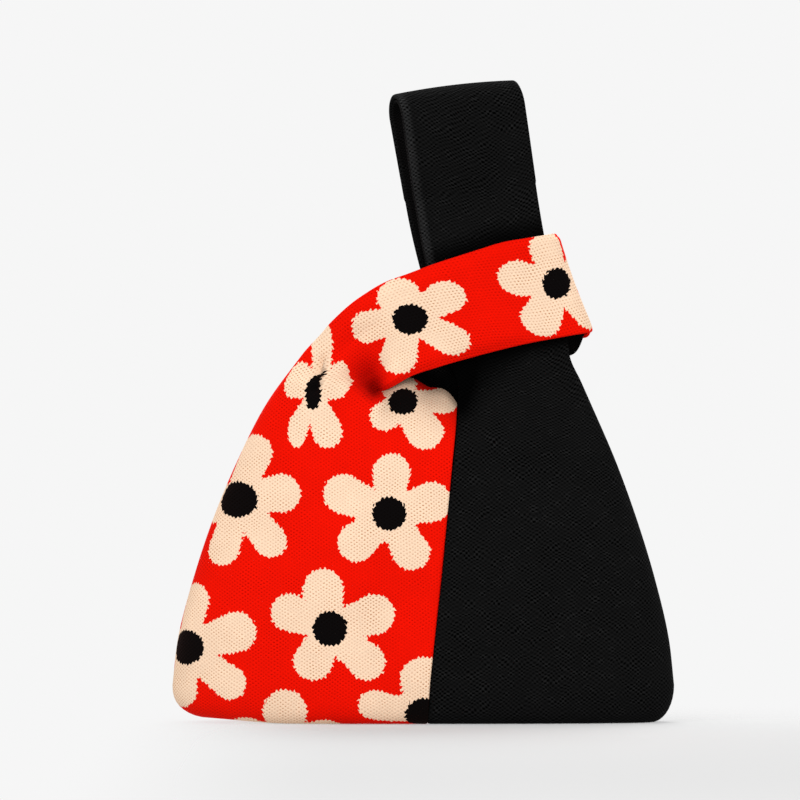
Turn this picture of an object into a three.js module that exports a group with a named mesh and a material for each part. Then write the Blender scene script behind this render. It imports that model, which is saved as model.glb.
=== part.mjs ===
// A knitted knot bag: a wide soft body that narrows to two handles of different length.
// The long black handle is threaded through the short flowered handle, which closes the mouth.
// Millimetres, +Z up, the front faces -Y. The origin is the middle of the base.
import * as THREE from "three";

// Body
const BASE_WIDTH = 250; // widest place, just above the base
const BASE_DEPTH = 78; // front to back at the belly
const BELLY_HEIGHT = 18.5; // height of the widest place
const NECK_HEIGHT = 168; // height of the edge of the mouth
const NECK_LEFT = 73.5; // half width at the neck on the flowered side
const NECK_RIGHT = 81; // half width at the neck on the black side
const LEFT_CURVE = 1.64; // how late the flowered side turns inwards
const RIGHT_CURVE = 1.55; // how late the black side turns inwards
const LEFT_CORNER = 27; // length of the round bottom corner, flowered side
const RIGHT_CORNER = 14; // length of the round bottom corner, black side
const BASE_EDGE = 16; // depth of the round edge between base and wall
const NECK_DEPTH = 33; // front to back at the neck
const DEPTH_CURVE = 1.35; // how late the walls lean together
const SECTION_POWER = 2.4; // squareness of the horizontal section
const SEAM_AT_BASE = 2.7; // place of the centre seam at the base
const SHOULDER_RISE = 15; // from the neck up to where the short handle leaves the side seam
const CREASE_INSET = 38; // from the centre seam to the crease under the short handle

// Cloth
const KNIT = 2.4; // thickness of the outer knit
const LINING = 1.2; // thickness of the lining
const GAP = 0.3; // clearance between neighbouring layers
const SEAM_BEAD = 1.1; // radius of the linked seam inside the lining

// Long handle
const STRAP_WIDTH = 61; // width of the strap
const STRAP_LEAN = 8.5; // degrees from upright, towards the flowered side
const STRAP_BEND = 6.2e-4; // extra lean below the fold, per square millimetre
const STRAP_DEPTH = 13; // front to back where the short handle holds it
const FOLD_X = 26.6; // middle of the line where the handle folds over
const FOLD_RISE = 96.5; // from the neck up to that line
const FOLD_RADIUS = 4.5; // round lower end of the handle about that line
const HANDLE_RISE = 51.5; // from the fold line to the top of the handle
const HANDLE_DEPTH = 24; // front to back at the top
const HANDLE_SKEW = 0.32; // sideways shift of the rear leg for its depth

// Short handle
const LOOP_WIDTH = 52.5; // width of the band, along +Z
const LOOP_CROWN = 4; // extra width in the middle of the band
const LOOP_PLAY = 3.6; // room between the strap and the lining of the band, each side
const LOOP_START = -12; // where the loose loop begins
const LOOP_RISE = 3.5; // from the neck up to the lower edge where the loop begins
const LOOP_SLOPE = 0.245; // rise of the lower edge
const LOOP_SLACK_LOW = 13.6; // reach of the folded end past the strap at its lower corner
const LOOP_SLACK_HIGH = 9.4; // reach of the folded end past the strap at its upper corner
const LOOP_SAG = 7; // drop of the rear half below the front half

const RED = 0xee1404;
const BLACK = 0x0b0b0b;
const LEAN = THREE.MathUtils.degToRad(STRAP_LEAN);
const SHOULDER_HEIGHT = NECK_HEIGHT + SHOULDER_RISE;
const FOLD_HEIGHT = NECK_HEIGHT + FOLD_RISE;
const LOOP_LOW = NECK_HEIGHT + LOOP_RISE;
const LINING_OUT = KNIT + GAP; // depth of the lining's outer face below the outer knit's
const LINING_IN = LINING_OUT + LINING; // depth of the lining's inner face
const SEAM_DEPTH = LINING_IN + 2 * GAP + SEAM_BEAD; // depth of a seam's centre line
const LOOP_DEPTH = STRAP_DEPTH + 2 * (LINING_IN + LOOP_PLAY); // front to back over the band

const mix = THREE.MathUtils.lerp;
const ease = THREE.MathUtils.smoothstep;

// Outline of the body seen from the front: half width on one side at a height.
// depth is how far the surface lies under the outer face.
function sideReach(z, depth, neck, curve, corner) {
  const half = BASE_WIDTH / 2;
  if (z < BELLY_HEIGHT) {
    const down = Math.min(1, (BELLY_HEIGHT - z) / (BELLY_HEIGHT - depth));
    return half - depth - (corner - depth) * (1 - Math.sqrt(1 - down * down));
  }
  const up = (z - BELLY_HEIGHT) / (NECK_HEIGHT - BELLY_HEIGHT);
  return half - depth - (half - neck) * up ** curve;
}

const leftEdge = (z, depth) => -sideReach(z, depth, NECK_LEFT, LEFT_CURVE, LEFT_CORNER);
const bodyRight = (z, depth) => sideReach(z, depth, NECK_RIGHT, RIGHT_CURVE, RIGHT_CORNER);

// Middle of the black strap, which leans and bends towards the flowered side as it rises.
function strapMiddle(z) {
  const below = FOLD_HEIGHT - z;
  return FOLD_X + Math.tan(LEAN) * below + STRAP_BEND * below * Math.max(0, below);
}

const strapLeft = (z) => strapMiddle(z) - STRAP_WIDTH / 2;
const strapRight = (z) => strapMiddle(z) + STRAP_WIDTH / 2;

// The right edge runs from the side seam into the edge of the strap.
function rightEdge(z, depth) {
  const share = ease(z, NECK_HEIGHT, NECK_HEIGHT + 20);
  return mix(bodyRight(z, depth), strapRight(z) - depth, share);
}

// Line where the flowered and the black halves meet, and above the neck the strap's left edge.
function centreSeam(z) {
  if (z > NECK_HEIGHT) return strapLeft(z);
  return mix(SEAM_AT_BASE, strapLeft(NECK_HEIGHT), z / NECK_HEIGHT);
}

// Half of the distance from front to back at a place.
function halfDepth(x, z, depth) {
  const belly = BASE_DEPTH / 2;
  if (z < BELLY_HEIGHT) {
    const down = Math.min(1, (BELLY_HEIGHT - z) / (BELLY_HEIGHT - depth));
    return belly - depth - (BASE_EDGE - depth) * (1 - Math.sqrt(1 - down * down));
  }
  const up = (z - BELLY_HEIGHT) / (NECK_HEIGHT - BELLY_HEIGHT);
  const wall = belly - (belly - NECK_DEPTH / 2) * up ** DEPTH_CURVE;
  const strap = mix(FOLD_RADIUS, STRAP_DEPTH / 2, Math.min(1, (FOLD_HEIGHT - z) / 65));
  const gathered = mix(ease(x, -35, 30), 1, ease(z, NECK_HEIGHT, NECK_HEIGHT + 12));
  const pinch = ease(z, NECK_HEIGHT - 28, NECK_HEIGHT + 6) * gathered;
  return mix(wall, strap, pinch) - depth;
}

// A point of the body's wall. side is -1 in front and 1 behind.
function wallPoint(side, x, z, share, depth) {
  const left = leftEdge(z, depth);
  const right = rightEdge(z, depth);
  const across = Math.min(1, Math.abs((2 * x - left - right) / (right - left)));
  const closed = (1 - across ** SECTION_POWER) ** (1 / SECTION_POWER);
  const open = ease(z, NECK_HEIGHT + 4, NECK_HEIGHT + 24);
  const y = GAP / 2 + share * halfDepth(x, z, depth) * mix(closed, 1, open);
  return new THREE.Vector3(x, side * y, z);
}

// Height and share of the depth along a wall, from the middle of the base (0) over the edge of
// the base (1), the belly (2) and the neck (3) to the top of the strap (4).
function wallProfile(along, neck, top, depth) {
  if (along <= 1) return { z: depth, share: along };
  const turn = ((Math.min(along, 2) - 1) * Math.PI) / 2;
  const corner = BELLY_HEIGHT - (BELLY_HEIGHT - depth) * Math.cos(turn);
  if (along <= 2) return { z: corner, share: 1 };
  if (along <= 3) return { z: mix(BELLY_HEIGHT, neck, along - 2), share: 1 };
  return { z: mix(neck, top, along - 3), share: 1 };
}

// Upper edge of the flowered half: level at the mouth, then up to the shoulder.
function flowerTop(x) {
  const crease = strapLeft(NECK_HEIGHT) - CREASE_INSET;
  const shoulder = leftEdge(SHOULDER_HEIGHT, 0);
  const share = THREE.MathUtils.clamp((crease - x) / (crease - shoulder), 0, 1);
  return mix(NECK_HEIGHT - GAP, SHOULDER_HEIGHT, share);
}

// Upper edge of the black half, square to the strap just below the fold line.
function blackTop(x) {
  return FOLD_HEIGHT - (FOLD_RADIUS + GAP) / Math.cos(LEAN) + (x - FOLD_X) * Math.tan(LEAN);
}

// Place across a half: 0 at the centre seam and 1 at the side seam, with points close
// together where the wall turns round to the other side.
function flowerX(across, z, depth) {
  const seam = centreSeam(z) - GAP / 2;
  return mix(seam, leftEdge(z, depth), Math.sin((across * Math.PI) / 2));
}

function blackX(across, z, depth) {
  const seam = centreSeam(z) + GAP / 2;
  return mix(seam, rightEdge(z, depth), Math.sin((across * Math.PI) / 2));
}

function flowerPoint(side, across, along, depth) {
  const near = flowerTop(flowerX(across, NECK_HEIGHT, depth));
  const top = flowerTop(flowerX(across, near, depth));
  const { z, share } = wallProfile(along, top, top, depth);
  return wallPoint(side, flowerX(across, z, depth), z, share, depth);
}

function blackPoint(side, across, along, depth) {
  const top = blackTop(blackX(across, blackTop(FOLD_X), depth));
  const { z, share } = wallProfile(along, NECK_HEIGHT, top, depth);
  return wallPoint(side, blackX(across, z, depth), z, share, depth);
}

// The short handle seen from above is a U: front leg, folded end, rear leg. round runs along
// it from 0 to 1, and rise runs from its lower edge (0) to its upper edge (1).
const LEG_SHARE = 0.38; // share of round on each straight leg
const LOOP_END_LOW = strapRight(LOOP_LOW + 20) + LOOP_SLACK_LOW;
const LOOP_END_HIGH = strapRight(LOOP_LOW + 20 + LOOP_WIDTH) + LOOP_SLACK_HIGH;

function loopHeight(x, rise) {
  const low = LOOP_LOW + LOOP_SLOPE * (x - LOOP_START);
  const along = (x - LOOP_START) / (LOOP_END_HIGH - LOOP_START);
  return low + rise * (LOOP_WIDTH + LOOP_CROWN * Math.sin(Math.PI * Math.min(1, along)));
}

function loopPoint(round, rise, depth) {
  const radius = LOOP_DEPTH / 2;
  const middle = mix(LOOP_END_LOW, LOOP_END_HIGH, rise) - radius;
  const fromEnd = Math.min(round, 1 - round);
  const point = new THREE.Vector3();
  if (fromEnd < LEG_SHARE) {
    point.x = mix(LOOP_START, middle, fromEnd / LEG_SHARE);
    point.y = Math.sign(round - 0.5) * (radius - depth);
  } else {
    const turn = ((round - LEG_SHARE) / (1 - 2 * LEG_SHARE) - 0.5) * Math.PI;
    point.x = middle + (radius - depth) * Math.cos(turn);
    point.y = (radius - depth) * Math.sin(turn);
  }
  const sag = Math.min(LOOP_SAG, loopHeight(point.x, 0) - NECK_HEIGHT);
  point.z = loopHeight(point.x, rise) - (sag * (point.y + radius)) / LOOP_DEPTH;
  return point;
}

// Place of the crease across the flowered half.
function creaseShare() {
  const half = strapLeft(NECK_HEIGHT) - leftEdge(NECK_HEIGHT, 0);
  return (Math.asin(CREASE_INSET / half) * 2) / Math.PI;
}

// The root of the short handle, from the shoulder (0) to the loose loop (1).
function rootPoint(side, out, rise, depth) {
  const start = flowerPoint(side, mix(creaseShare(), 1, rise), 3, depth);
  const end = loopPoint(side < 0 ? 0 : 1, rise, depth);
  start.z += GAP;
  end.x -= GAP;
  const bow = new THREE.Vector3(
    mix(start.x, end.x, 0.35),
    mix(start.y, end.y, 0.7),
    mix(start.z, end.z, 0.62),
  );
  return new THREE.QuadraticBezierCurve3(start, bow, end).getPoint(out);
}

// Closed sheet of cloth between an outer and an inner face. at(u, v, depth) gives its points
// for u and v from the two lists.
function sheet(us, vs, outer, inner, at) {
  const columns = vs.length;
  const points = [outer, inner].flatMap((depth) =>
    us.flatMap((u) => vs.map((v) => at(u, v, depth))),
  );
  const back = us.length * columns;
  const faces = [];
  const quad = (a, b, c, d) => faces.push(a, b, c, a, c, d);
  for (let i = 0; i < us.length - 1; i++) {
    for (let j = 0; j < columns - 1; j++) {
      const a = i * columns + j;
      quad(a, a + 1, a + columns + 1, a + columns);
      quad(back + a, back + a + columns, back + a + columns + 1, back + a + 1);
    }
  }
  const rim = [];
  for (let j = 0; j < columns; j++) rim.push(j);
  for (let i = 1; i < us.length; i++) rim.push(i * columns + columns - 1);
  for (let j = columns - 2; j >= 0; j--) rim.push(back - columns + j);
  for (let i = us.length - 2; i > 0; i--) rim.push(i * columns);
  rim.forEach((a, k) => {
    const b = rim[(k + 1) % rim.length];
    quad(a, a + back, b + back, b);
  });
  return facingOut(points, faces);
}

// Geometry whose faces point out of the solid, whichever way its grid was wound.
function facingOut(points, faces) {
  let volume = 0;
  for (let i = 0; i < faces.length; i += 3) {
    const [a, b, c] = [points[faces[i]], points[faces[i + 1]], points[faces[i + 2]]];
    volume += a.dot(new THREE.Vector3().crossVectors(b, c));
  }
  const geometry = new THREE.BufferGeometry().setFromPoints(points);
  geometry.setIndex(volume < 0 ? faces.slice().reverse() : faces);
  geometry.computeVertexNormals();
  return geometry;
}

const steps = (from, to, count) =>
  Array.from({ length: count + 1 }, (unused, i) => mix(from, to, i / count));

function knit(name, color, geometry) {
  const material = new THREE.MeshStandardMaterial({ color, roughness: 0.92, metalness: 0 });
  const mesh = new THREE.Mesh(geometry, material);
  mesh.name = name;
  return mesh;
}

const bag = new THREE.Group();
const FRONT = -1;
const BACK = 1;
const sides = [
  ["front", FRONT],
  ["back", BACK],
];

// Walls: each half of the front and the back is an outer panel with its lining.
const acrossBand = steps(0, 1, 6);
const underBand = acrossBand.map((rise) => mix(creaseShare(), 1, rise));
const acrossHalf = [...steps(0, creaseShare(), 3), ...underBand.slice(1)];
const upFlower = [...steps(0, 1, 2), ...steps(1, 2, 4).slice(1), ...steps(2, 3, 8).slice(1)];
const upBlack = [...upFlower, ...steps(3, 4, 7).slice(1)];
for (const [place, side] of sides) {
  const flower = (across, along, depth) => flowerPoint(side, across, along, depth);
  const black = (across, along, depth) => blackPoint(side, across, along, depth);
  bag.add(
    knit(`${place}_flower_panel`, RED, sheet(acrossHalf, upFlower, 0, KNIT, flower)),
    knit(`${place}_black_panel`, BLACK, sheet(acrossHalf, upBlack, 0, KNIT, black)),
    knit(
      `${place}_flower_lining`,
      BLACK,
      sheet(acrossHalf, upFlower, LINING_OUT, LINING_IN, flower),
    ),
    knit(
      `${place}_black_lining`,
      BLACK,
      sheet(acrossHalf, upBlack, LINING_OUT, LINING_IN, black),
    ),
  );
}

// Linked seams: a bead of yarn along each join, inside the lining.
function seam(name, points) {
  const section = new THREE.Shape().absarc(0, 0, SEAM_BEAD, 0, 2 * Math.PI);
  const path = new THREE.CatmullRomCurve3(points);
  const shape = new THREE.ExtrudeGeometry(section, {
    curveSegments: 4,
    steps: 24,
    extrudePath: path,
  });
  bag.add(knit(name, BLACK, shape));
}

const seamFoot = BELLY_HEIGHT; // side and centre seams start here, clear of the bottom seam
const seamHeights = steps(seamFoot, NECK_HEIGHT - 2 * SEAM_BEAD, 8);
for (const [place, side] of sides) {
  const onWall = (z) => wallPoint(side, centreSeam(z), z, 1, SEAM_DEPTH);
  seam(`${place}_centre_seam`, seamHeights.map(onWall));
}
seam(
  "left_side_seam",
  seamHeights.map((z) => new THREE.Vector3(leftEdge(z, SEAM_DEPTH), 0, z)),
);
seam(
  "right_side_seam",
  seamHeights.map((z) => new THREE.Vector3(rightEdge(z, SEAM_DEPTH), 0, z)),
);
seam(
  "bottom_seam",
  steps(leftEdge(0, 0) + SEAM_DEPTH, rightEdge(0, 0) - SEAM_DEPTH, 8).map(
    (x) => new THREE.Vector3(x, 0, SEAM_DEPTH),
  ),
);

// Short handle: its two roots stay on the bag, and its loop moves on the long handle.
const alongRoot = steps(0, 1, 5);
for (const [place, side] of sides) {
  const root = (out, rise, depth) => rootPoint(side, out, rise, depth);
  bag.add(
    knit(`short_handle_root_${place}`, RED, sheet(alongRoot, acrossBand, 0, KNIT, root)),
    knit(
      `short_handle_root_lining_${place}`,
      BLACK,
      sheet(alongRoot, acrossBand, LINING_OUT, LINING_IN, root),
    ),
  );
}

const aroundLoop = [
  ...steps(0, LEG_SHARE, 6),
  ...steps(LEG_SHARE, 1 - LEG_SHARE, 10).slice(1),
  ...steps(1 - LEG_SHARE, 1, 6).slice(1),
];
bag.add(
  knit("short_handle_loop", RED, sheet(aroundLoop, acrossBand, 0, KNIT, loopPoint)),
  knit(
    "short_handle_loop_lining",
    BLACK,
    sheet(aroundLoop, acrossBand, LINING_OUT, LINING_IN, loopPoint),
  ),
);

// Long handle, seen along its width: a belt round the fold line and round the handle's top.
function belt(depth, PathType) {
  const rise = HANDLE_RISE - HANDLE_DEPTH / 2;
  const tilt = Math.asin((HANDLE_DEPTH / 2 - FOLD_RADIUS) / rise);
  return new PathType()
    .absarc(0, rise, HANDLE_DEPTH / 2 - depth, -tilt, Math.PI + tilt, false)
    .absarc(0, 0, FOLD_RADIUS - depth, Math.PI + tilt, 2 * Math.PI - tilt, false)
    .closePath();
}

function handleLayer(outer, inner) {
  const section = belt(outer, THREE.Shape);
  section.holes.push(belt(inner, THREE.Path));
  const layer = new THREE.ExtrudeGeometry(section, {
    depth: STRAP_WIDTH,
    steps: 4,
    curveSegments: 14,
    bevelEnabled: false,
  });
  // The section lies in depth and height, and the width runs across the strap.
  const upright = new THREE.Matrix4().makeBasis(
    new THREE.Vector3(-HANDLE_SKEW, 1, 0),
    new THREE.Vector3(0, 0, 1),
    new THREE.Vector3(1, 0, 0),
  );
  return layer.translate(0, 0, -STRAP_WIDTH / 2).applyMatrix4(upright);
}

const longHandle = new THREE.Group();
longHandle.position.set(FOLD_X, 0, FOLD_HEIGHT);
longHandle.rotation.y = -LEAN;
longHandle.add(
  knit("long_handle", BLACK, handleLayer(0, KNIT)),
  knit("long_handle_lining", BLACK, handleLayer(LINING_OUT, LINING_IN)),
);
bag.add(longHandle);

export default bag;
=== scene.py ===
import math

import bpy
import numpy as np
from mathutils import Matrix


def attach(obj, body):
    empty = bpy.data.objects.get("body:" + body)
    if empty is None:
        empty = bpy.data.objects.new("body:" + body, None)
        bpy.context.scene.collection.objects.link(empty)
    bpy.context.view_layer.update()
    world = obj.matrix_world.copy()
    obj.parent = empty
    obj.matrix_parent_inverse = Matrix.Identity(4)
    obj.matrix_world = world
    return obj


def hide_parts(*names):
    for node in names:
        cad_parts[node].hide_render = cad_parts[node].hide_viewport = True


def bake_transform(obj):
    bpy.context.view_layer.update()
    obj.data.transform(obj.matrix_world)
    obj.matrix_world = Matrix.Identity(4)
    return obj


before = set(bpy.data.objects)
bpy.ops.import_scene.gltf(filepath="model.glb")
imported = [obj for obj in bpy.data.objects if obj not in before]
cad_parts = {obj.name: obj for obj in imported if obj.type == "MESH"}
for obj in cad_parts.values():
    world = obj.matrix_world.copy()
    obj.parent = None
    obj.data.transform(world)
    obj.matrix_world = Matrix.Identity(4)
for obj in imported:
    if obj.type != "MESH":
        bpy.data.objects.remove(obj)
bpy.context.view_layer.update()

# Sizes in millimetres, in the frame of the CAD model. A pair of numbers is a range, if nothing else is said
# Body: heights of the belly and the neck, half its depth there, and the powers of its curves
BELLY = 18.5
NECK = 168.0
BELLY_DEPTH = 39.0
NECK_DEPTH = 16.5
WALL_POWER = 1.35
SECTION = 2.4
BASE_EDGE = 16.0
BASE_POWER = 4.0
# The lower corners, as radius and power, and how far the base stands off the floor on the left
LEFT_CORNER = (18.0, 2.2)
RIGHT_CORNER = (11.5, 2.0)
CORNER_LIFT = 2.4
LIFT_REACH = (66, 112)
LIFT_HEIGHT = (0, 16)

# The knit, and the faces of the lining below its outer face
KNIT = 2.2
LINING_OUT = 2.7
LINING_IN = 3.9

# Long handle: half its width, how it leans and bends, and the line where it folds over
STRAP_HALF = 30.5
STRAP_LEAN = math.radians(8.5)
HANDLE_UP = np.array([-math.sin(STRAP_LEAN), 0, math.cos(STRAP_LEAN)])
STRAP_BEND = 7.8e-4
STRAP_FROM = (170, 188)
STRAP_OPEN = (176, 194)
BLACK_SPREAD = (120, 186)
STRAP_ROOT = 6.5
STRAP_SLIM = 65.0
FOLD_X = 26.6
FOLD_Z = 264.5
FOLD_RADIUS = 4.5
HANDLE_TOP_RADIUS = 12.0
HANDLE_LEG = 39.5
# Rise of its top edge all along, more to the left, and in the middle
TOP_RISE = (1.1, 1.8, 4.8)
# Shift of its rear leg to the left at the fold line and at the top, and of each layer beside the next
REAR_SHIFT = (5.3, 6.9)
REAR_FROM = (150, 266)
REAR_RUN = 40.0
LAYER_SKEW = 0.55
LAYERS_FROM = (188, 214)
# Its turned hem: width and height of the ridge, the groove beside it, and the painted highlight that makes
# its front edge paler
HEM_FROM = (186, 206)
HEM_RIDGE = (3.2, 4.6)
HEM_RISE = 0.5
GROOVE_AT = 4.4
GROOVE_WIDTH = 0.9
GROOVE_DEPTH = 0.45
HEM_HIGHLIGHT_STRENGTH = 3.0
HEM_HIGHLIGHT_WIDTH = (0.2, 3.2)

# Short handle: the loop round the long one, how its rear half hangs, and how square its fold is
RING_RADIUS = 14.0
RING_DIP = 0.9
RING_CURL = 2.4
RING_SAG = 11.0
FOLD_POWER = 0.55
FOLD_TILT = (0.18, 0.15)
ROOT_RUN = (30.0, 52.0)
LOOSE_EDGE = 7.0
KNIT_LEAN = 20.0
FOLD_LEAN = 9.0

# Neck: where the body narrows to the strap, and the neckline's rise behind, drop in front and inward roll
PINCH_HEIGHT = (140, 174)
GATHER_REACH = (-35, 30)
GATHER_HEIGHT = (168, 180)
BACK_NECK_RISE = 13.0
BACK_RIM_DROP = 1.8
NECK_DROP = 1.9
NECK_DROP_REACH = (8, 18)
NECK_ROLL = 4.6

# Folds of the shoulder: the hollow with its direction, the lobe as middle and size, and the pleat
HOLLOW_DEPTH = 16.0
HOLLOW_WAY = (-0.5, 0.866)
HOLLOW_WIDTH = 4.2
HOLLOW_FLARE = 0.30
HOLLOW_LENGTH = 26.0
LOBE_RISE = 4.2
LOBE_AT = (-41.0, 171.0)
LOBE_SIZE = (9.0, 16.0)
PLEAT_AT = (-50.0, 173.0)
PLEAT_LEAN = 0.22
PLEAT_DEPTH = 3.2
PLEAT_OVERLAP = 1.5
BACK_FOLDS = 0.25
# Heights of the soft waves in the cloth
SLACK = (0.7, 0.6, 0.5)
SLACK_FROM = (0, 12)
SLACK_TO = (150, 170)
BLACK_SLACK = 40.0
# Share of the width over which waves and folds die out at the side seam
SIDE_SHARE = 0.16

# Steps of the stitches across and along the knit, and the points they make between two colours
STITCH = (1.37, 0.925)
BLACK_STITCH = (1.42, 1.04)
LINING_STITCH = (1.0, 0.8)
SEAM_STITCH = (0.8, 0.8)
EDGE_STITCH = (1.1, 1.4)
TOOTH = (0.6, 0.5)

# Points in the grids of the sheets
BASE_ROWS = 8
EDGE_ROWS = 9
BELLY_ROW = BASE_ROWS + EDGE_ROWS
PANEL_ROWS = 61
PANEL_TOP = 138.0
SPREAD_FROM = 60.0
SHOULDER_ROWS = 34
PANEL_COLUMNS = 66
NECK_COLUMNS = 22
BAND_COLUMNS = PANEL_COLUMNS - NECK_COLUMNS + 1
BAND_ROWS = 84
FOLD_ROWS = 34
BLACK_COLUMNS = 44
BLACK_ROWS = 57
BLACK_TOP = 150.0
STRAP_ROWS = 65
LEG_ROWS = 27
TOP_ROWS = 30
RIM = 5

# Millimetres in a metre
MM = 1000

# Outline of the body, as height and reach from the middle
LEFT_OUTLINE = ((18.5, 125.0), (41, 122.4), (71, 114.8), (101, 104.9), (131, 92.4), (161, 76.9), (184, 60.0))
RIGHT_OUTLINE = ((18.5, 125.8), (41, 123.3), (71, 116.4), (101, 107.3), (131, 96.4), (161, 83.4), (184, 73.2))

# The seam between the two colours, as height and place
SEAM_LINE = ((0, 2.4), (17, 3.4), (41, 5.9), (71, 9.4), (102, 12.4), (129, 15.1), (151, 17.2), (168, 17.8))

# Edges of the short handle's front, as seen from the front
BAND_LOW = ((-22.7, 165.2), (-16, 168.2), (-6, 173.8), (7, 178.2), (28.7, 184.4), (50, 189.7), (71.6, 193.8))
BAND_HIGH = ((-60.0, 184), (-47.6, 200.1), (-42.3, 204.9), (-36.4, 209.6), (-28.6, 214.8), (-20.7, 219.4),
             (-7.7, 224.4), (5.1, 229.2), (17.9, 233.4), (28.6, 236.8), (38.6, 239.9), (53.8, 242.6))
# From the crease under the short handle to the centre seam
NECKLINE = ((-22.7, 165.2), (-16, 169.4), (-9.5, 172.4), (-4.3, 171.8), (-0.7, 169.6), (2.6, 167.7),
            (7.3, 167.2), (11.8, 166.2), (14.8, 163.7), (17.2, 160.5))
CREASE = NECKLINE[0]

# Camera, with the photograph's scale of half a millimetre to a pixel at the middle of the bag
CAMERA_DISTANCE = 4000.0
CAMERA_X = -11.25
CAMERA_Z = 161.0
PIXELS_PER_MM = 2.0
IMAGE = 800
SENSOR = 36

# Flowers of the front, in the photograph's pixels: the centre and radius of the heart, then the petals as the
# middle and radius of the round end. A fourth number makes one wider in the knit, below 1, or narrower
PANEL_FLOWERS = (
    ((237.6, 499.5, 18, 0.79),
     ((252, 452.5, 18.6, 0.8), (282, 493, 19), (270.8, 540.4, 17), (223, 548.6, 16.7, 0.9),
      (204, 498, 20, 0.85))),
    ((185.8, 647.6, 17.3, 0.72),
     ((193.5, 601, 17.5, 0.82), (237, 632, 20), (230, 683, 17), (179, 691, 18, 0.7), (152, 640, 17))),
    ((330, 629, 17.3),
     ((322.8, 588.8, 20), (374.2, 614.2, 20.2), (366.8, 661.8, 18.4), (313.5, 661, 19.7),
      (290, 612.5, 18.6))),
    ((390, 514, 17),
     ((391.6, 471.6, 18.5), (432, 502, 20), (411, 551.2, 19), (357, 543, 19.5), (343.8, 494.2, 20))),
    ((423.4, 714.5, 18.2),
     ((424.8, 678, 20.6, 0.85), (374.2, 704.4, 15.3))),
    ((403, 400.5, 14.8),
     ((405, 383, 11), (391, 389, 9.5), (444.8, 400, 16.5), (425, 431, 19), (384.7, 416.5, 15))),
)
# The petal that rises over the base, of a flower that lies mostly underneath
HEM_PETAL = (284.7, 711.5, 22.3)
HEM_LENGTH = 20.5
# The flower in the pleat, where the knit is drawn together, and the black that runs up from its heart
CREASED_FLOWER = ((313.5, 391, 19.2, 2.3),
                  ((321.5, 343, 19.8, 1.72), (336.3, 377, 17.8, 1.6), (339, 386.5, 12.5, 1.3),
                   (327, 431, 17, 1.12), (297, 431, 16.5, 1.75), (295.6, 379.8, 18.7, 1.5)))
CREASE_MARK = ((322.8, 375.5, 5.5, 3.2), ())
BAND_FLOWERS = (
    ((410, 319.5, 15.8),
     ((398.2, 296.3, 18.3), (446, 297, 17.3), (451.5, 340, 16.8), (398, 356, 18.5), (367.5, 326.8, 15.7))),
    ((557, 283.5, 15.6, 1.1),
     ((547, 249, 17.6), (518, 278, 18.2), (541.5, 318.5, 19.3), (586, 314.5, 15))),
)
# The petal of the last flower that lies round the fold, as the turn of its direction in the knit
FOLD_PETAL = 45.0
# Flowers that the photograph does not show, as a centre in millimetres and the turn of the first petal
BACK_FLOWERS = (
    ((-24.0, 30.0), 20.0), ((-88.0, 26.0), 57.0), ((-56.0, 80.0), 4.0), ((4.0, 86.0), 42.0),
    ((-116.0, 80.0), 30.0), ((-26.0, 134.0), 66.0), ((-86.0, 134.0), 12.0), ((-56.0, -22.0), 18.0),
)
# The same on the rear of the short handle, with the centre as shares of its length and width
BACK_BAND_FLOWERS = ((0.64, 0.55, 10.0), (0.86, 0.50, 40.0))
# A petal widens from its root to its tip, and its sides bulge
PETALS = 5
PETAL_LENGTH = 20.0
PETAL_ROOT = 4.4
PETAL_BULGE = 0.65
CREASED_ROOT = 2.4
PETAL_TIP = 9.6
HEART = 8.7
# How far from its centre a flower is looked for, and the value stored where there is none
FLOWER_REACH = 60
OUTSIDE = -40.0

# Linear colours
RED = (0.855, 0.0056, 0.0004, 1)
CREAM = (0.965, 0.70, 0.50, 1)
DARK = (0.0022, 0.0021, 0.0023, 1)
BLACK = (0.0088, 0.0088, 0.0089, 1)
LINING_BLACK = (0.006, 0.0055, 0.0055, 1)
SEAM_BLACK = (0.008, 0.0076, 0.0078, 1)
# Tint of the holes between stitches, and of the fuzz
CREAM_GAP = (0.53, 0.38, 0.28, 1)
BLACK_GAP = (0.0, 0.0, 0.0, 1)
RED_FUZZ = (1.0, 0.3, 0.2, 1)
BLACK_FUZZ = (0.8, 0.8, 0.85, 1)
PAPER = (0.60, 0.60, 0.60, 1)
BACKGROUND = (0.922, 0.922, 0.922, 1)


# Curves and surfaces

def smooth(v, a, b):
    t = np.clip((v - a) / (b - a), 0.0, 1.0)
    return t * t * (3 - 2 * t)


def mix(a, b, t):
    return a + (b - a) * t


def gauss(v, width):
    return np.exp(-(v / width) ** 2)


def through(points):
    # A smooth curve through the points, which runs on straight beyond its ends
    at = np.array([p[0] for p in points], float)
    value = np.array([p[1] for p in points], float)
    slope = np.gradient(value, at)

    def evaluate(x):
        x = np.asarray(x, float)
        i = np.clip(np.searchsorted(at, x) - 1, 0, len(at) - 2)
        h = at[i + 1] - at[i]
        t = np.clip((x - at[i]) / h, 0, 1)
        a, b = value[i], value[i + 1]
        c = a * (1 + 2 * t) * (1 - t) ** 2 + b * t * t * (3 - 2 * t)
        d = h * (slope[i] * t * (1 - t) ** 2 - slope[i + 1] * t * t * (1 - t))
        out = np.where(x < at[0], (x - at[0]) * slope[0], np.where(x > at[-1], (x - at[-1]) * slope[-1], 0))
        return c + d + out

    return evaluate


def path(points, count):
    # Points at even steps along a curve
    f = through(points)
    x = np.linspace(points[0][0], points[-1][0], 400)
    z = f(x)
    run = np.concatenate([[0], np.cumsum(np.hypot(np.diff(x), np.diff(z)))])
    at = np.interp(np.linspace(0, run[-1], count), run, x)
    return np.stack([at, f(at)], 1)


left_outline = through(LEFT_OUTLINE)
right_outline = through(RIGHT_OUTLINE)
neckline = through(NECKLINE)
band_low = through(BAND_LOW)
band_high = through(BAND_HIGH)
seam_line = through(SEAM_LINE)


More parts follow.
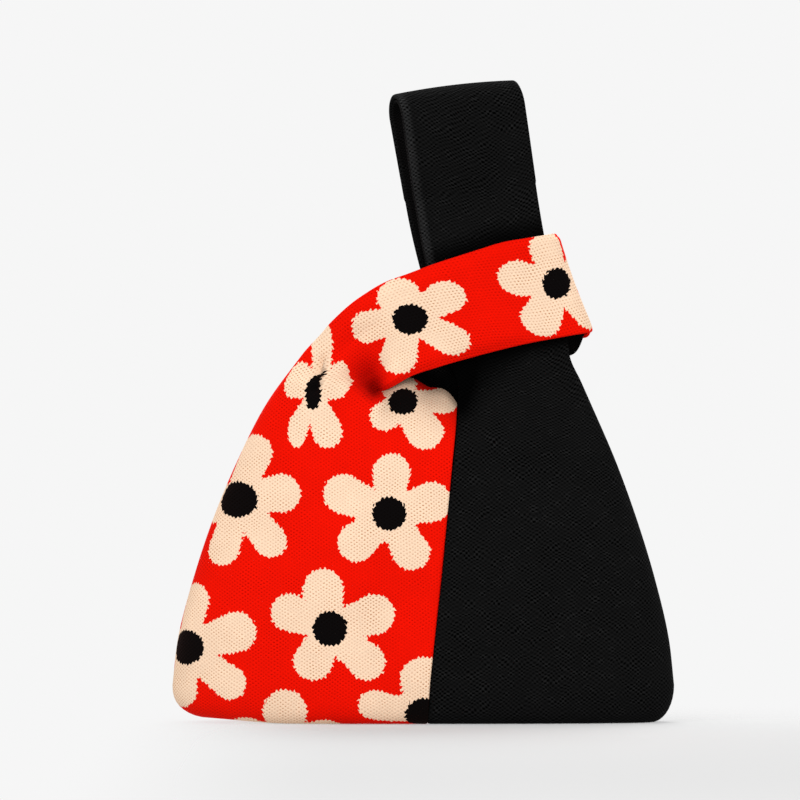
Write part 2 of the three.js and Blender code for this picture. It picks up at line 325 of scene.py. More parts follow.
def reach(z, outline, corner, depth):
    # Reach of the body from the middle, for a surface at a depth below the outer face
    radius, power = corner
    d = np.clip((BELLY - z) / (BELLY - depth), 0, 1)
    low = outline(BELLY) - depth - (radius - depth) * (1 - (1 - d ** power) ** (1 / power))
    return np.where(z < BELLY, low, outline(z) - depth)


def strap_middle(z):
    b = FOLD_Z - z
    return FOLD_X + math.tan(STRAP_LEAN) * b + STRAP_BEND * b * np.maximum(0, b)


def seam_x(z):
    # Up the body, then along the left edge of the strap
    return np.where(z > NECK, strap_middle(z) - STRAP_HALF, seam_line(z))


def left_x(z, depth):
    return -reach(z, left_outline, LEFT_CORNER, depth)


def right_x(z, depth, edge):
    body = reach(z, right_outline, RIGHT_CORNER, depth)
    strap = strap_middle(z) + STRAP_HALF - edge
    return mix(body, strap, smooth(z, *STRAP_FROM))


def half_depth(x, z, depth):
    d = np.clip((BELLY - z) / (BELLY - depth), 0, 1)
    low = BELLY_DEPTH - depth - (BASE_EDGE - depth) * (1 - (1 - d ** BASE_POWER) ** (1 / BASE_POWER))
    up = np.clip((z - BELLY) / (NECK - BELLY), 0, 1.2)
    wall = BELLY_DEPTH - (BELLY_DEPTH - NECK_DEPTH) * up ** WALL_POWER
    strap = mix(FOLD_RADIUS, STRAP_ROOT, np.clip((FOLD_Z - z) / STRAP_SLIM, 0, 1))
    gathered = mix(smooth(x, *GATHER_REACH), 1, smooth(z, *GATHER_HEIGHT))
    pinch = smooth(z, *PINCH_HEIGHT) * gathered
    return np.where(z < BELLY, low, mix(wall, strap, pinch) - depth)


def section(x, z, depth):
    # Share of the depth at x in the rounded rectangle of the body's section
    lo, hi = left_x(z, depth), right_x(z, depth, 0)
    t = np.clip(np.abs(2 * x - lo - hi) / (hi - lo), 0, 1)
    return (1 - t ** SECTION) ** (1 / SECTION)


def corner_lift(x, z):
    return CORNER_LIFT * smooth(-x, *LIFT_REACH) * (1 - smooth(z, *LIFT_HEIGHT))


def pleat_step(x, z):
    # Distance to the right of the pleat, and its strength at this height
    step = x - PLEAT_AT[0] - PLEAT_LEAN * (z - PLEAT_AT[1])
    return step, smooth(z, 162, 168) * (1 - smooth(z, 178, 186))


def hollow_shape(x, z):
    along = (x - CREASE[0]) * HOLLOW_WAY[0] + (z - CREASE[1]) * HOLLOW_WAY[1]
    across = (x - CREASE[0]) * HOLLOW_WAY[1] - (z - CREASE[1]) * HOLLOW_WAY[0]
    width = HOLLOW_WIDTH + HOLLOW_FLARE * np.clip(along, 0, 20)
    return gauss((across + 0.6) / width, 1.0) * smooth(along, -6, 1) * (1 - smooth(along, 0, HOLLOW_LENGTH))


def shoulder_folds(x, z):
    # A deep hollow runs up and left from the end of the neckline, with a full lobe and a pleat on its left
    hollow = -HOLLOW_DEPTH * hollow_shape(x, z)
    lobe = LOBE_RISE * gauss(np.hypot((x - LOBE_AT[0]) / LOBE_SIZE[0], (z - LOBE_AT[1]) / LOBE_SIZE[1]), 1.0)
    step, span = pleat_step(x, z)
    pleat = -PLEAT_DEPTH * smooth(step, -7, -0.5) * (1 - smooth(step, -0.5, 0.9)) * span
    return hollow + lobe + pleat


def pleat_shift(x, z):
    # The lip of the pleat is drawn over to the left
    step, span = pleat_step(x, z)
    return -PLEAT_OVERLAP * gauss(step - 0.9, 1.4) * span


def slack(x, z):
    # Soft unevenness of knitted cloth that stands
    a = np.sin(x * 0.071 + 0.9) * np.sin(z * 0.052 + 0.4)
    b = np.sin(x * 0.033 - z * 0.061 + 2.1)
    c = np.sin(x * 0.12 + z * 0.03) * (1 - smooth(z, 8, 40))
    return SLACK[0] * a + SLACK[1] * b + SLACK[2] * c


def front_neckline(x):
    return neckline(x) - NECK_DROP * smooth(x, *NECK_DROP_REACH)


def painted_fold_shade(points, zone):
    # Painted shade: the colour is darker deep in the hollow, in the pleat, under the edge of the short handle
    # and where the neckline rolls in, where shade falls
    x, y, z = points.T
    step, _ = pleat_step(x, z)
    pleat = 0.9 * gauss(step + 0.3, 0.8) * smooth(z, 166, 170) * (1 - smooth(z, 176, 182))
    below = front_neckline(x) - z
    under = 0.9 * gauss(below, 1.3) * smooth(x, -23, -19) * (1 - smooth(x, -8, -3)) * (zone == 0)
    rolled = (0.85 * gauss(below, 14) + 0.5 * gauss(below, 3)) * smooth(x, -24, -17) * (zone == 0)
    return np.where(y < 3, np.maximum.reduce([hollow_shape(x, z), pleat, under, rolled]), 0)


def painted_band_shade(x, z):
    # Painted shade: the black is darker where the short handle lies close to it, above and below it, and
    # beside the mouth, as a cast shadow
    below = band_low(x) - z
    under = 1.4 * (1 - smooth(below / mix(34, 10, smooth(x, 20, 60)), 0, 1)) * smooth(below, -8, 0)
    mouth = 1.4 * gauss(x - seam_x(z), 9) * smooth(z, 138, 160) * (1 - smooth(z, 180, 190))
    above = 1.2 * (1 - smooth(z - band_high(x), 0, 13)) * smooth(z - band_high(x), -8, 0)
    return np.minimum(under + mouth + above, 1.5)


# Knitted sheets, each a set of grids that share borders

def grid_quads(rows, columns, start, flip):
    i = np.arange(rows - 1)[:, None] * columns + np.arange(columns - 1)[None, :] + start
    i = i.ravel()
    q = np.stack([i, i + 1, i + columns + 1, i + columns], 1)
    return q[:, ::-1] if flip else q


def steps(points, axis):
    # Lengths between the neighbours in a grid
    return np.sqrt((np.diff(points, axis=axis) ** 2).sum(2))


def column_runs(points):
    # Lengths along the columns of a grid, from its first row
    return np.concatenate([np.zeros((1, points.shape[1])), np.cumsum(steps(points, 0), 0)])


def base_rows(depth):
    # Share of the depth and height of each row, from the bottom seam out over the base and up to the belly
    rows = [(math.sin(k / BASE_ROWS * math.pi / 2), depth) for k in range(BASE_ROWS + 1)]
    for k in range(1, EDGE_ROWS + 1):
        rows.append((1.0, BELLY - (BELLY - depth) * math.cos(k / EDGE_ROWS * math.pi / 2)))
    return rows


def flower_panel(depth, edge, neck_rise, fold_share):
    q = np.linspace(0, 1, PANEL_COLUMNS + 1)
    rows = base_rows(depth)
    rows += [(1.0, mix(BELLY, PANEL_TOP, k / PANEL_ROWS)) for k in range(1, PANEL_ROWS + 1)]
    # The top edge is the neckline from the centre seam to the crease, then the root of the band
    neck_x = np.linspace(NECKLINE[-1][0] - edge, CREASE[0], NECK_COLUMNS + 1)
    # Behind, the rim rises less close to the seam, and the knit ends lower than its lining
    rise = neck_rise * (1 - 0.45 * smooth(neck_x, 15.2, 17.4)) - edge
    if neck_rise and depth <= KNIT:
        rise = rise - BACK_RIM_DROP
    rim = neckline(neck_x) if neck_rise else front_neckline(neck_x)
    neck_z = rim + rise * smooth(neck_x, CREASE[0], CREASE[0] + 9)
    shoulder_z = LEFT_OUTLINE[-1][0] - 0.6 * depth
    t = np.linspace(0, 1, BAND_COLUMNS)
    top_x = np.concatenate([neck_x[:-1], mix(CREASE[0], left_x(shoulder_z, depth), t)])
    top_z = np.concatenate([neck_z[:-1], mix(CREASE[1], shoulder_z, t)])
    top_seam = seam_x(top_z) - edge
    top_share = (top_x - top_seam) / (left_x(top_z, depth) - top_seam)
    rows += [(1.0, mix(PANEL_TOP, top_z, k / SHOULDER_ROWS)) for k in range(1, SHOULDER_ROWS + 1)]
    share = np.array([row[0] for row in rows])[:, None]
    z = np.array([row[1] + 0 * q for row in rows])
    climb = smooth((z - SPREAD_FROM) / (top_z - SPREAD_FROM), 0, 1)
    a = mix(np.sin(q * math.pi / 2), top_share, climb)
    x = mix(seam_x(z) - edge, left_x(z, depth), a)
    y = share * half_depth(x, z, depth) * section(x, z, depth)
    inside = smooth(1 - q, 0.0, SIDE_SHARE)
    y = y + share * inside * slack(x, z) * smooth(z, *SLACK_FROM)
    folds = fold_share * inside * shoulder_folds(x, z)
    # The neckline rolls inwards
    roll = smooth(z, top_z - 10, top_z + 1) * smooth(q, 0.0, 0.10) * (1 - smooth(q, 0.30, 0.36))
    y = y - NECK_ROLL * roll
    y[:, -1] = 0
    plain = np.stack([x, -y, z], 2)
    points = np.stack([x + fold_share * pleat_shift(x, z), -y - folds, z + corner_lift(x, z)], 2)
    # Places in the knit, measured across from the centre seam and up from the belly
    s = np.zeros_like(x)
    s[:, 0] = seam_x(z[:, 0])
    s[:, 1:] = s[:, :1] - np.cumsum(steps(plain[..., :2], 1), 1)
    run = column_runs(plain[..., 1:])
    t = run - run[BELLY_ROW] + BELLY
    return points, np.stack([s, t], 2), plain[[-3, -1], NECK_COLUMNS:], folds[-1, NECK_COLUMNS:]


def flower_band(border, border_folds, border_knit, slope, depth, edge):
    # From the border of the front panel, round the fold on the right, to the border of the back panel
    n = BAND_ROWS
    low = path(BAND_LOW, n)
    high = path(BAND_HIGH, n)
    tau = np.linspace(0, 1, n)[:, None]
    sigma = np.linspace(0, 1, BAND_COLUMNS)[None, :]
    width = np.hypot(*(high - low).T)[:, None]
    settle = smooth(tau, 0.0, 0.12) / width
    sg = mix((edge - KNIT / 2) * settle, 1 - (edge + 0.5) * settle, sigma)
    plan = low[:, None, :] * (1 - sg[..., None]) + high[:, None, :] * sg[..., None]
    start = border[None][..., (0, 2)]
    plan = plan + (start - plan[:1]) * (1 - smooth(tau, 0, 0.3))[..., None]
    run = column_runs(plan)
    # Both edges curl in, less towards the fold
    end = smooth(tau, 0.7, 1.0)
    curl = np.maximum(0, 1 - sg * width / 6.5) ** 2 * (1 - 0.75 * end)
    top_curl = 1.6 * np.maximum(0, 1 - (1 - sg) * width / mix(8, 4, end)) ** 2 * (1 - 0.3 * end)
    curl = (curl + top_curl) * smooth(tau, 0.05, 0.3)
    radius = RING_RADIUS - RING_DIP * np.sin(np.pi * sigma) - RING_CURL * curl - depth
    # The depth leaves the panel with its slope and settles at the radius of the loop
    reach_run = mix(*ROOT_RUN, sigma)
    u = np.clip(run / reach_run, 0, 1)
    y0 = -border[None, :, 1]
    h0 = (1 + 2 * u) * (1 - u) ** 2
    h1 = u * (1 - u) ** 2
    h2 = u * u * (3 - 2 * u)
    y = y0 * h0 + slope[None, :] * reach_run * h1 + radius * h2
    folds = shoulder_folds(plan[..., 0], plan[..., 1]) * smooth(1 - sigma, 0, 0.12)
    folds = folds + (border_folds - folds[:1]) * (1 - smooth(run, 0, 6))
    shift = pleat_shift(plan[..., 0], plan[..., 1])
    front = np.stack([plan[..., 0] + shift, -y - folds, plan[..., 1]], 2)
    # The fold
    turn = np.linspace(0, math.pi, FOLD_ROWS)[1:-1, None]
    last = front[-1:]
    rad = radius[-1:]
    lean = mix(*FOLD_TILT, sigma)
    out = np.sin(turn) ** FOLD_POWER
    fx = last[..., 0] + rad * out
    fz = last[..., 2] + lean * rad * out
    fold = np.stack([fx, -rad * np.sign(np.cos(turn)) * np.abs(np.cos(turn)) ** FOLD_POWER, fz], 2)
    # The rear half, which hangs lower
    back = np.stack([plan[..., 0] + BACK_FOLDS * shift, y + BACK_FOLDS * folds, plan[..., 1]], 2)[::-1]
    sag = np.clip(low[:, 1] - NECK, 0, RING_SAG)
    back[..., 2] -= sag[::-1, None]
    fold[..., 2] -= RING_SAG * smooth(turn, 1.9, 3.1)
    points = np.concatenate([front, fold, back])
    # The knit lines stand upright at the root and lean more and more to the right along the loop
    lean = -np.radians(KNIT_LEAN) * smooth(tau, 0.0, 1.0)
    from_x = plan[..., 0] - border[0, 0]
    from_z = plan[..., 1] - border[0, 2]
    s = from_x * np.cos(lean) + from_z * np.sin(lean)
    t = from_z * np.cos(lean) - from_x * np.sin(lean)
    flat = np.stack([s, t], 2)
    flat = flat + (border_knit[None] - flat[:1]) * (1 - smooth(tau, 0, 0.4))[..., None]
    flat = flat + border_knit[0] * smooth(tau, 0, 0.4)[..., None]
    run = np.cumsum(steps(points[n - 1:], 0), 0)
    way = math.radians(KNIT_LEAN + FOLD_LEAN)
    beyond = flat[-1:] + np.stack([run * math.cos(way), run * math.sin(way)], 2)
    knit = np.concatenate([flat, beyond])
    if depth > KNIT:
        return points, knit
    # Behind, the knit ends higher than its lining
    trim = np.zeros(len(points))
    trim[n:-n] = smooth(turn[:, 0], 2.15, 2.85)
    trim[-n:] = smooth(plan[::-1, 0, 0], -12, 20)
    grid = np.arange(BAND_COLUMNS)
    for i in np.nonzero(trim)[0]:
        at = mix(LOOSE_EDGE / width[-1, 0] * trim[i], 1, sigma[0]) * (BAND_COLUMNS - 1)
        points[i] = np.stack([np.interp(at, grid, points[i, :, k]) for k in range(3)], 1)
        knit[i] = np.stack([np.interp(at, grid, knit[i, :, k]) for k in range(2)], 1)
    return points, knit


def flower_half(depth, edge):
    panel, knit, plain, folds = flower_panel(depth, edge, 0.0, 1.0)
    rear, rear_knit, _, _ = flower_panel(depth, edge, BACK_NECK_RISE, BACK_FOLDS)
    before, border = plain
    border_knit = knit[-1, NECK_COLUMNS:]
    travel = np.hypot(border[:, 0] - before[:, 0], border[:, 2] - before[:, 2])
    slope = np.clip((before[:, 1] - border[:, 1]) / travel, -0.5, 0.5)
    band, band_knit = flower_band(border, folds, border_knit, slope, depth, edge)
    back = rear * np.array([1, -1, 1])
    back_knit = rear_knit * np.array([-1, 1])
    parts = (panel, band, back)
    knits = (knit, band_knit, back_knit)
    quads, at = [], 0
    for i, part in enumerate(parts):
        quads.append(grid_quads(*part.shape[:2], at, i < 2))
        at += part[..., 0].size
    points = np.concatenate([p.reshape(-1, 3) for p in parts])
    flat = np.concatenate([k.reshape(-1, 2) for k in knits])
    zone = np.repeat(np.arange(3), [p[..., 0].size for p in parts])
    # The last value is the painted shade in the folds, kept with the points
    return points, np.concatenate(quads), flat, zone, painted_fold_shade(points, zone)


def black_half(depth, edge):
    q = np.linspace(0, 1, BLACK_COLUMNS + 1)

    def body_row(z, share):
        z = z + 0 * q
        a = mix(np.sin(q * math.pi / 2), q, smooth(z, *BLACK_SPREAD))
        lo, hi = seam_x(z) + edge, right_x(z, depth, edge)
        x = mix(lo, hi, a)
        shut = section(np.minimum(x, right_x(z, depth, 0)), z, depth)
        shut = np.where(q > 0.999, 0, shut)
        y = half_depth(x, z, depth) * mix(shut, 1, smooth(z, *STRAP_OPEN))
        inside = smooth(1 - q, 0.0, SIDE_SHARE) * (1 - smooth(z, *SLACK_TO)) * smooth(z, *SLACK_FROM)
        return x, share * (y + inside * slack(x + BLACK_SLACK, z)), z

    rows = [body_row(z, share) for share, z in base_rows(depth)]
    for k in range(1, BLACK_ROWS + 1):
        rows.append(body_row(mix(BELLY, BLACK_TOP, k / BLACK_ROWS), 1.0))
    # The rows tilt up to the line where the handle folds over
    for k in range(1, STRAP_ROWS + 1):
        t = k / STRAP_ROWS
        zl = mix(BLACK_TOP, FOLD_Z - STRAP_HALF * math.sin(STRAP_LEAN), t)
        zr = mix(BLACK_TOP, FOLD_Z + STRAP_HALF * math.sin(STRAP_LEAN), t)
        z = mix(zl, zr, q)
        rows.append(body_row(z, 1.0))
    x, y, z = np.moveaxis(np.array(rows), 1, 0)
    # The layers fan out at the left edge of the strap, and its rear leg lies further left
    skew = LAYER_SKEW * (depth - KNIT / 2)
    fan = skew * smooth(z, *LAYERS_FROM)
    shift = REAR_SHIFT[0] * smooth(z, *REAR_FROM)
    front = np.stack([x - fan, -y, z], 2)
    back = np.stack([x - shift + fan, y, z], 2)[::-1]
    # The long handle above the fold line, over its top and down behind
    across = np.array([math.cos(STRAP_LEAN), 0, math.sin(STRAP_LEAN)])
    origin = np.array([FOLD_X, 0, FOLD_Z])
    w = mix(edge - STRAP_HALF, STRAP_HALF - edge, q)

    def handle_row(h, y, share):
        p = origin + HANDLE_UP * h + across[None, :] * w[:, None]
        p[:, 1] = y
        p[:, 0] -= share * mix(*REAR_SHIFT, min(1, h / REAR_RUN)) + skew * (1 - 2 * share)
        rise = TOP_RISE[0] + TOP_RISE[1] * (1 - q) + TOP_RISE[2] * q * (1 - q)
        p[:, 2] += h / (HANDLE_LEG + HANDLE_TOP_RADIUS) * rise
        return p

    legs = []
    for k in range(1, LEG_ROWS + 1):
        h = HANDLE_LEG * k / LEG_ROWS
        y = mix(FOLD_RADIUS, HANDLE_TOP_RADIUS, math.sin(h / HANDLE_LEG * math.pi / 2)) - depth
        legs.append((h, y))
    top = []
    r = HANDLE_TOP_RADIUS - depth
    for k in range(1, TOP_ROWS):
        turn = math.pi * k / TOP_ROWS
        top.append(handle_row(HANDLE_LEG + r * math.sin(turn), -r * math.cos(turn), (1 - math.cos(turn)) / 2))
    rise_rows = [handle_row(h, -y, 0) for h, y in legs]
    fall_rows = [handle_row(h, y, 1) for h, y in reversed(legs)]
    points = np.concatenate([front, rise_rows, top, fall_rows, back])
    # A turned hem along the free edges of the strap
    from_edge = np.minimum(q, 1 - q) * 2 * STRAP_HALF
    groove = GROOVE_DEPTH * gauss(from_edge - GROOVE_AT, GROOVE_WIDTH)
    hem = HEM_RISE * (1 - smooth(from_edge, *HEM_RIDGE)) - groove
    count = len(points)
    above = smooth(points[..., 2].mean(1), *HEM_FROM)
    free = above[:, None] * hem[None, :]
    side = np.sign(np.arange(count) - count / 2 + 0.5)[:, None]
    points[..., 1] += free * side
    # Places in the knit, measured across from the left edge and up from the belly
    s = np.zeros(points.shape[:2])
    s[:, 1:] = np.cumsum(steps(points, 1), 1)
    s += np.concatenate([x[:, 0], np.full(count - 2 * len(x), x[-1, 0]), x[::-1, 0]])[:, None]
    run = column_runs(points)
    t = run - run[BELLY_ROW] + BELLY
    quads = grid_quads(*points.shape[:2], 0, False)
    knit = np.stack([s, t], 2).reshape(-1, 2)
    # A painted highlight makes the front's left hem paler, where light falls on its rim
    front_share = 1 - smooth(np.arange(count) / count, 0.47, 0.53)
    rim_highlight = front_share * above
    tone = -HEM_HIGHLIGHT_STRENGTH * rim_highlight[:, None] * (1 - smooth(2 * STRAP_HALF * q, *HEM_HIGHLIGHT_WIDTH))
    # Painted shade on the front of the strap, under, over and beside the short handle and beside the mouth
    tone = np.where(points[..., 1] < 0, tone + painted_band_shade(points[..., 0], points[..., 2]), 0)
    return points.reshape(-1, 3), quads, knit, np.zeros(len(knit), int), tone.ravel()


# Meshes from the sheets, with a face, an inside and rounded rims

def new_object(name, data):
    obj = bpy.data.objects.new(name, data)
    bpy.context.collection.objects.link(obj)
    return obj


def smooth_mesh(name, points, faces):
    mesh = bpy.data.meshes.new(name)
    mesh.from_pydata((points / MM).tolist(), [], faces)
    mesh.polygons.foreach_set("use_smooth", [True] * len(mesh.polygons))
    return new_object(name, mesh)


def sheet_mesh(name, face, inside, quads, knit, zone):
    # Points that meet are welded, but each face keeps its own places in the knit
    key = np.round(face + 1e-7, 3) + 0.0
    _, first, weld = np.unique(key, axis=0, return_index=True, return_inverse=True)
    weld = weld.ravel()
    out = face[first]
    inn = inside[first]
    count = len(out)
    faces, corners = [], []
    owner = {}
    for quad in quads:
        ids, src = [], []
        for i in quad:
            v = int(weld[i])
            if v not in ids:
                ids.append(v)
                src.append(int(i))
        if len(ids) < 3:
            continue
        for k in range(len(ids)):
            a, b = ids[k], ids[(k + 1) % len(ids)]
            owner[(a, b)] = (src[k], src[(k + 1) % len(src)])
        faces.append(ids)
        corners.append(src)
    # An edge with one face is a rim, and is closed by half a ring from the face to the inside
    rim_edges = [(a, b) for (a, b) in owner if (b, a) not in owner]
    normal = out - inn
    thick = np.linalg.norm(normal, axis=1)
    normal /= np.maximum(thick, 1e-9)[:, None]
    outward = np.zeros_like(out)
    for a, b in rim_edges:
        e = np.cross(out[b] - out[a], normal[a] + normal[b])
        e /= max(np.linalg.norm(e), 1e-9)
        outward[a] += e
        outward[b] += e
    outward -= normal * (outward * normal).sum(1)[:, None]
    outward /= np.maximum(np.linalg.norm(outward, axis=1), 1e-9)[:, None]
    ring = {}
    total = 2 * count
    extra = []
    for v in sorted({v for edge in rim_edges for v in edge}):
        mid = (out[v] + inn[v]) / 2
        r = thick[v] / 2
        ids = [v]
        for k in range(1, RIM):
            turn = math.pi * k / RIM
            extra.append(mid + r * (math.cos(turn) * normal[v] + math.sin(turn) * outward[v]))
            ids.append(total)
            total += 1
        ids.append(count + v)
        ring[v] = ids
    for k in range(len(faces)):
        faces.append([count + v for v in reversed(faces[k])])
        corners.append(list(reversed(corners[k])))
    more_knit, more_zone = [], []
    for a, b in rim_edges:
        ka, kb = owner[(a, b)]
        along = (knit[kb] - knit[ka])[:2]
        away = np.array([along[1], -along[0], 0]) / max(np.linalg.norm(along), 1e-6)
        base = len(knit) + len(more_knit)
        for k in range(RIM + 1):
            arc = thick[a] / 2 * math.pi * k / RIM
            more_knit.append(knit[ka] + away * arc)
            more_knit.append(knit[kb] + away * arc)
            more_zone += [zone[ka], zone[kb]]
        for k in range(RIM):
            faces.append([ring[b][k], ring[a][k], ring[a][k + 1], ring[b][k + 1]])
            corners.append([base + 2 * k + 1, base + 2 * k, base + 2 * k + 2, base + 2 * k + 3])
    obj = smooth_mesh(name, np.concatenate([out, inn, extra]), faces)
    return obj, np.concatenate([knit, more_knit]), np.concatenate([zone, more_zone]), np.concatenate(corners)


def corner_vector(obj, name, values, loops):
    data = np.zeros((len(loops), 3), np.float32)
    data[:, : values.shape[1]] = values[loops]
    layer = obj.data.attributes.new(name, "FLOAT_VECTOR", "CORNER")
    layer.data.foreach_set("vector", data.ravel())


# The flower pattern, as distances inside the petals and the dark hearts

def round_cone(p, a, b, r1, r2):
    # Distance to a shape with round ends of two radii and bulging sides between them
    axis = b - a
    h = np.linalg.norm(axis)
    axis = axis / h
    v = p - a
    along = v @ axis
    side = np.abs(v[:, 0] * axis[1] - v[:, 1] * axis[0])
    lean = (r1 - r2) / h
    c = math.sqrt(max(0.0, 1 - lean * lean))
    k = along * c - side * lean
    tail = np.hypot(side, along) - r1
    head = np.hypot(side, along - h) - r2
    wall = side * c + along * lean - r1 - PETAL_BULGE * np.sin(np.pi * np.clip(k / (c * h), 0, 1))
    return np.where(k < 0, tail, np.where(k > c * h, head, wall))


def petal_field(p, flowers):
    best = np.full(len(p), OUTSIDE)
    for centre, _, petals, _ in flowers:
        near = np.nonzero(((p - centre) ** 2).sum(1) < FLOWER_REACH ** 2)[0]
        for middle, tip, squeeze, root in petals:
            wide = np.array([squeeze, 1.0])
            inside = -round_cone(p[near] * wide, centre * wide, middle * wide, root, tip)
            best[near] = np.maximum(best[near], inside)
    return best


def heart_field(p, flowers):
    best = np.full(len(p), OUTSIDE)
    for centre, heart, _, squeeze in flowers:
        best = np.maximum(best, heart - np.hypot((p[:, 0] - centre[0]) * squeeze, p[:, 1] - centre[1]))
    return best


def with_slopes(field, p, flowers):
    h = 0.4
    f = field(p, flowers)
    fs = (field(p + (h, 0), flowers) - f) / h
    ft = (field(p + (0, h), flowers) - f) / h
    return np.stack([f, fs, ft], 1)


def projected(points):
    # Pixels of the photograph at which the points are seen
    k = PIXELS_PER_MM * CAMERA_DISTANCE / (CAMERA_DISTANCE + points[:, 1])
    return np.stack([IMAGE / 2 + (points[:, 0] - CAMERA_X) * k, IMAGE / 2 - (points[:, 2] - CAMERA_Z) * k], 1)


def knit_at(pixel, seen, knit):
    # Place in the knit at a pixel, from the points seen nearest to it
    d = np.hypot(seen[:, 0] - pixel[0], seen[:, 1] - pixel[1])
    near = np.argsort(d)[:6]
    w = 1 / (d[near] + 0.3) ** 2
    return (knit[near] * w[:, None]).sum(0) / w.sum()


def towards(centre, length, turn):
    return centre + length * np.array([math.cos(math.radians(turn)), math.sin(math.radians(turn))])


def regular(centre, turn, length=PETAL_LENGTH):
    turns = [turn + 360 / PETALS * k for k in range(PETALS)]
    petals = [(towards(centre, length, t), PETAL_TIP, 1.0, PETAL_ROOT) for t in turns]
    return centre, HEART, petals, 1.0


def flower_fields(points, knit, zone, all_knit, all_zone):
    front = points[:, 1] < 0.5
    panel_ids = np.nonzero((zone == 0) & front)[0]
    band_ids = np.nonzero((zone == 1) & front)[0]
    both = np.concatenate([panel_ids, band_ids])
    seen = projected(points)

    def placed(flower, ids, root=PETAL_ROOT):
        (x, y, heart, *wide), marks = flower
        petals = []
        for px, py, tip, *own in marks:
            squeeze = own[0] if own else 1.0
            petals.append((knit_at((px, py), seen[ids], knit[ids]), tip / PIXELS_PER_MM, squeeze, root))
        return knit_at((x, y), seen[ids], knit[ids]), heart / PIXELS_PER_MM, petals, wide[0] if wide else 1.0

    creased = [placed(CREASED_FLOWER, both, CREASED_ROOT), placed(CREASE_MARK, both)]
    panel = [placed(f, panel_ids) for f in PANEL_FLOWERS] + creased
    hem = knit_at(HEM_PETAL[:2], seen[panel_ids], knit[panel_ids])
    low = regular(hem - (0, HEM_LENGTH), 90.0, HEM_LENGTH)
    low[2][0] = (hem, HEM_PETAL[2] / PIXELS_PER_MM, 1.0, PETAL_ROOT)
    panel.append(low)
    band = [placed(f, band_ids) for f in BAND_FLOWERS] + creased
    last = band[len(BAND_FLOWERS) - 1]
    last[2].append((towards(last[0], PETAL_LENGTH, FOLD_PETAL), PETAL_TIP, 1.0, PETAL_ROOT))
    loop = knit[zone == 1].reshape(-1, BAND_COLUMNS, 2)
    for along, across, turn in BACK_BAND_FLOWERS:
        band.append(regular(loop[int(along * len(loop)), int(across * BAND_COLUMNS)], turn))
    behind = [regular(np.array([-c[0], c[1]]), turn) for c, turn in BACK_FLOWERS]
    petal, heart = np.zeros((2, len(all_knit), 3))
    for i, flowers in enumerate((panel, band, behind)):
        own = all_zone == i
        petal[own] = with_slopes(petal_field, all_knit[own], flowers)
        heart[own] = with_slopes(heart_field, all_knit[own], flowers)
    return petal, heart


# Materials

class Net:
    def __init__(self, name):
        self.material = bpy.data.materials.new(name)
        self.material.use_nodes = True
        self.tree = self.material.node_tree
        self.shader = self.tree.nodes["Principled BSDF"]

    def node(self, kind, **inputs):
        return self.fill(self.tree.nodes.new(kind), inputs)

    def fill(self, made, inputs):
        for key, value in inputs.items():
            self.feed(made.inputs[key.replace("_", " ")], value)
        return made

    def feed(self, socket, value):
        if isinstance(value, bpy.types.NodeSocket):
            self.tree.links.new(value, socket)
        else:
            socket.default_value = value

    def math(self, operation, *values, clamp=False):
        made = self.node("ShaderNodeMath")
        made.operation = operation
        made.use_clamp = clamp
        for socket, value in zip(made.inputs, values):
            self.feed(socket, value)
        return made.outputs[0]

    def blend(self, factor, a, b, kind="MIX"):
        made = self.node("ShaderNodeMix")
        made.data_type = "RGBA"
        made.blend_type = kind
        self.feed(made.inputs[0], factor)
        self.feed(made.inputs[6], a)
        self.feed(made.inputs[7], b)
        return made.outputs[2]

    def ramp(self, value, start, end, low=0.0, high=1.0, kind="SMOOTHSTEP"):
        made = self.node("ShaderNodeMapRange", Value=value, From_Min=start, From_Max=end,
                         To_Min=low, To_Max=high)
        made.interpolation_type = kind
        return made.outputs[0]

    def place(self):
        return self.node("ShaderNodeTexCoord").outputs["Object"]

    def fix(self, **inputs):
        self.fill(self.shader, inputs)

    def vector(self, name):
        made = self.node("ShaderNodeAttribute")
        made.attribute_name = name
        return self.node("ShaderNodeSeparateXYZ", Vector=made.outputs["Vector"]).outputs


def stitches(net, stitch, edge, drift):
    # Rows of pointed stitches that drift a little, with holes between them in a crossed grid
    s, t, _ = net.vector("knit")
    noise = net.node("ShaderNodeTexNoise", Vector=net.place(), Scale=150.0, Detail=1.0)
    away = net.node("ShaderNodeSeparateXYZ", Vector=noise.outputs["Color"]).outputs
    s = net.math("ADD", s, net.math("MULTIPLY_ADD", away[0], drift, -drift / 2))
    t = net.math("ADD", t, net.math("MULTIPLY_ADD", away[1], drift, -drift / 2))
    wave = net.math("MULTIPLY", net.math("COSINE", net.math("MULTIPLY", s, math.pi / stitch[0])),
                    net.math("COSINE", net.math("MULTIPLY", t, math.pi / stitch[1])))
    column = net.math("MULTIPLY", s, 0.5 / edge[0])
    peak = net.math("PINGPONG", column, 0.5)
    row = net.math("MULTIPLY_ADD", peak, 0.9, net.math("MULTIPLY", t, 0.5 / edge[1]))
    part = net.math("FRACT", row)
    fall = net.math("SUBTRACT", 1.0, part)
    rise = net.math("MINIMUM", net.math("DIVIDE", part, 0.7), net.math("DIVIDE", fall, 0.3))
    cell = net.node("ShaderNodeCombineXYZ", X=net.math("FLOOR", column), Y=net.math("FLOOR", row))
    chance = net.node("ShaderNodeTexWhiteNoise", Vector=cell.outputs[0]).outputs["Value"]
    sideways = net.math("MULTIPLY_ADD", rise, 2.0, -1.0)
    upwards = net.math("MULTIPLY_ADD", peak, 4.0, -1.0)
    return wave, sideways, upwards, chance


